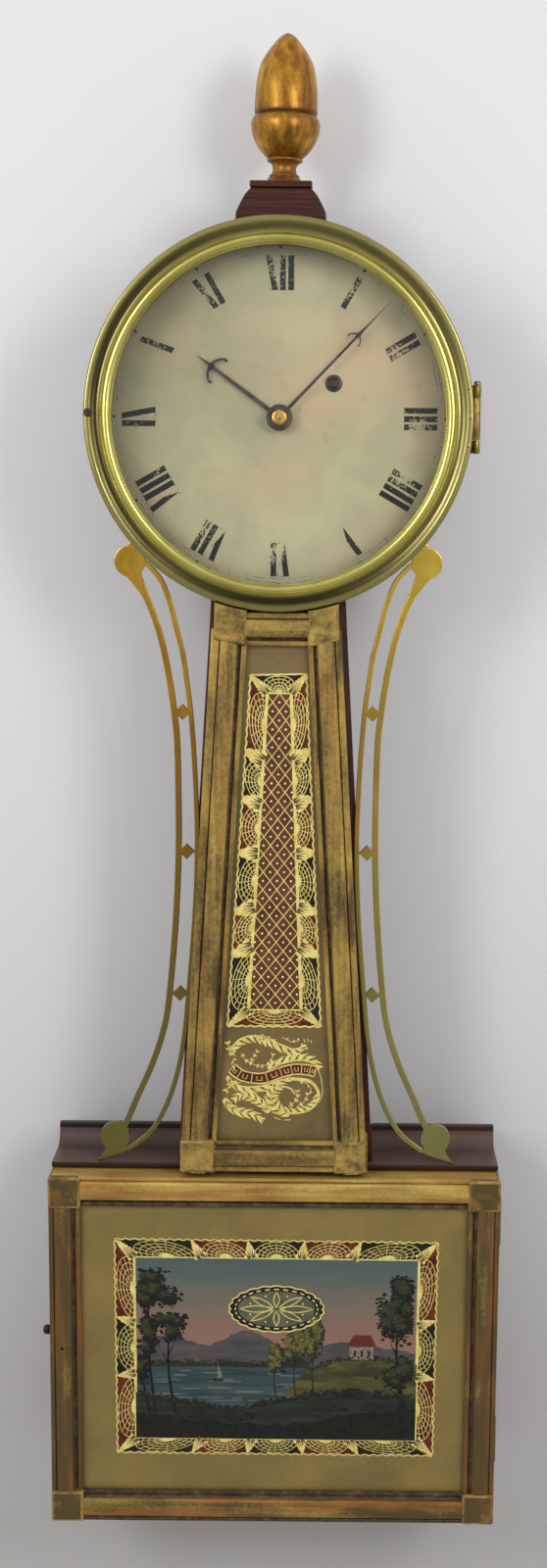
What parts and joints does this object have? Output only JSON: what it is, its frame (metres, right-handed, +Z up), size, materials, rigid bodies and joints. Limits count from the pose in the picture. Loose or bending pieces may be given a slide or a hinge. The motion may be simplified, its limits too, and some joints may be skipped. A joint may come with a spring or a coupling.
{
  "type": "banjo clock",
  "caption": "Weight-driven wall clock with a round head and hinged bezel, a tapered throat with side arms and a glazed box for the pendulum",
  "frame": {"origin": "on the wall plane at the back of the backboard, directly behind the axis of the hands", "axes": "+X to the right seen from the front, +Y into the wall, +Z up"},
  "size_m": [0.2633, 0.098, 0.8298],
  "materials": {
    "mahogany": "old shellac on mahogany",
    "gilt_wood": "worn gilding on wood",
    "brass": "aged brass",
    "steel": "worn steel",
    "blued_steel": "dark blued steel",
    "cast_iron": "rough casting",
    "tinplate": "dull tinplate",
    "dial_paint": "aged cream dial paint",
    "clear_glass": "clear domed glass",
    "painted_glass": "glass painted on its back",
    "gut": "gut line"
  },
  "bodies": {
    "case": {"backboard": "mahogany", "head_ring": "mahogany", "finial_plinth": "mahogany", "finial": "gilt_wood", "throat_side_left": "mahogany", "throat_side_right": "mahogany", "throat_frame": "gilt_wood", "throat_tablet": "painted_glass", "side_arm_left": "brass", "side_arm_right": "brass", "arm_screw_left": "brass", "arm_screw_right": "brass", "box_side_left": "mahogany", "box_side_right": "mahogany", "box_bottom": "mahogany", "box_top_shelf": "mahogany", "box_latch_plate": "brass", "lower_hinge_case_leaf": "brass", "lower_hinge_pin": "steel", "upper_hinge_case_leaf": "brass", "upper_hinge_pin": "steel", "bezel_hinge_case_leaf": "brass", "bezel_hinge_pin": "steel", "dial": "dial_paint", "winding_grommet": "brass", "movement_back_plate": "brass", "movement_front_plate": "brass", "movement_screw_left": "steel", "movement_screw_right": "steel", "pendulum_bridge": "brass", "weight_baffle": "tinplate", "gut_line": "gut"},
    "bezel_door": {"bezel": "brass", "bezel_glass": "clear_glass", "bezel_hinge_bezel_leaf": "brass"},
    "bezel_turn_latch": {"bezel_latch": "steel"},
    "box_door": {"box_door_frame": "gilt_wood", "box_tablet": "painted_glass", "lower_hinge_door_leaf": "brass", "upper_hinge_door_leaf": "brass"},
    "box_turn_latch": {"box_latch": "brass"},
    "centre_arbor": {"centre_wheel": "brass", "cannon_pinion": "steel", "minute_hand": "blued_steel", "hand_washer": "blued_steel", "hand_nut": "brass"},
    "great_arbor": {"great_wheel": "brass", "ratchet_click": "steel"},
    "drum": {"winding_drum": "brass"},
    "third_arbor": {"third_wheel": "brass"},
    "escape_arbor": {"escape_wheel": "brass"},
    "verge": {"pallet_arbor": "steel"},
    "minute_arbor": {"minute_wheel": "brass"},
    "hour_pipe": {"hour_wheel": "brass", "hour_hand": "blued_steel"},
    "pendulum": {"pendulum_rod": "brass", "pendulum_bob": "brass"},
    "rating": {"rating_nut": "brass"},
    "driving_weight": {"weight": "cast_iron"},
    "pulley": {"weight_pulley": "brass"}
  },
  "joints": [
    {"name": "bezel_hinge", "type": "hinge", "parent": "case", "child": "bezel_door", "pos_m": [0.1056, -0.0775, 0], "axis": [0, 0, 1], "range_deg": [0, 120]},
    {"name": "bezel_latch_turn", "type": "hinge", "parent": "bezel_door", "child": "bezel_turn_latch", "pos_m": [-0.1001, -0.08, 0.001], "axis": [0, 1, 0], "range_deg": [0, 90]},
    {"name": "box_door_hinge", "type": "hinge", "parent": "case", "child": "box_door", "pos_m": [0.1277, -0.07625, -0.523], "axis": [0, 0, 1], "range_deg": [0, 120]},
    {"name": "box_latch_turn", "type": "hinge", "parent": "case", "child": "box_turn_latch", "pos_m": [-0.1263, -0.07, -0.5215], "axis": [1, 0, 0], "range_deg": [0, 90]},
    {"name": "centre_turn", "type": "hinge", "parent": "case", "child": "centre_arbor", "pos_m": [0, -0.05, 0], "axis": [0, 1, 0], "continuous": true},
    {"name": "great_turn", "type": "hinge", "parent": "case", "child": "great_arbor", "pos_m": [0.0289, -0.0386, 0.0184], "axis": [0, 1, 0], "continuous": true},
    {"name": "third_turn", "type": "hinge", "parent": "case", "child": "third_arbor", "pos_m": [-0.00859, -0.03, 0.02305], "axis": [0, 1, 0], "continuous": true},
    {"name": "escape_turn", "type": "hinge", "parent": "case", "child": "escape_arbor", "pos_m": [0, -0.024, 0.04], "axis": [0, 1, 0], "continuous": true},
    {"name": "minute_turn", "type": "hinge", "parent": "case", "child": "minute_arbor", "pos_m": [-0.0144, -0.052, 0], "axis": [0, 1, 0], "continuous": true},
    {"name": "hour_turn", "type": "hinge", "parent": "case", "child": "hour_pipe", "pos_m": [0, -0.056, 0], "axis": [0, 1, 0], "continuous": true},
    {"name": "weight_lift", "type": "slide", "parent": "case", "child": "driving_weight", "axis": [0, 0, 1], "range_m": [0, 0.377], "deforming": ["gut_line"]},
    {"name": "drum_turn", "type": "hinge", "parent": "case", "child": "drum", "pos_m": [0.0289, -0.0265, 0.0184], "axis": [0, 1, 0], "range_deg": [0, 4321]},
    {"name": "pulley_turn", "type": "hinge", "parent": "driving_weight", "child": "pulley", "pos_m": [0.003, -0.0265, -0.4775], "axis": [0, 1, 0], "range_deg": [-1360, 0]},
    {"name": "pendulum_swing", "type": "hinge", "parent": "case", "child": "pendulum", "pos_m": [0, -0.0628, 0.057], "axis": [0, 1, 0], "range_deg": [-3, 3]},
    {"name": "verge_swing", "type": "hinge", "parent": "case", "child": "verge", "pos_m": [0, -0.024, 0.057], "axis": [0, 1, 0], "range_deg": [-3, 3]},
    {"name": "rating_turn", "type": "hinge", "parent": "pendulum", "child": "rating", "pos_m": [0, -0.0628, -0.525], "axis": [0, 0, 1], "range_deg": [-720, 720]}
  ],
  "couplings": [
    {"joint": "great_turn", "follows": "centre_turn", "ratio": -0.0625},
    {"joint": "third_turn", "follows": "centre_turn", "ratio": -9.75},
    {"joint": "escape_turn", "follows": "centre_turn", "ratio": 80.438},
    {"joint": "minute_turn", "follows": "centre_turn", "ratio": -0.33333},
    {"joint": "hour_turn", "follows": "centre_turn", "ratio": 0.083333},
    {"joint": "drum_turn", "follows": "weight_lift", "rad_per_m": 200},
    {"joint": "pulley_turn", "follows": "weight_lift", "rad_per_m": -62.893},
    {"joint": "verge_swing", "follows": "pendulum_swing", "ratio": 1}
  ]
}
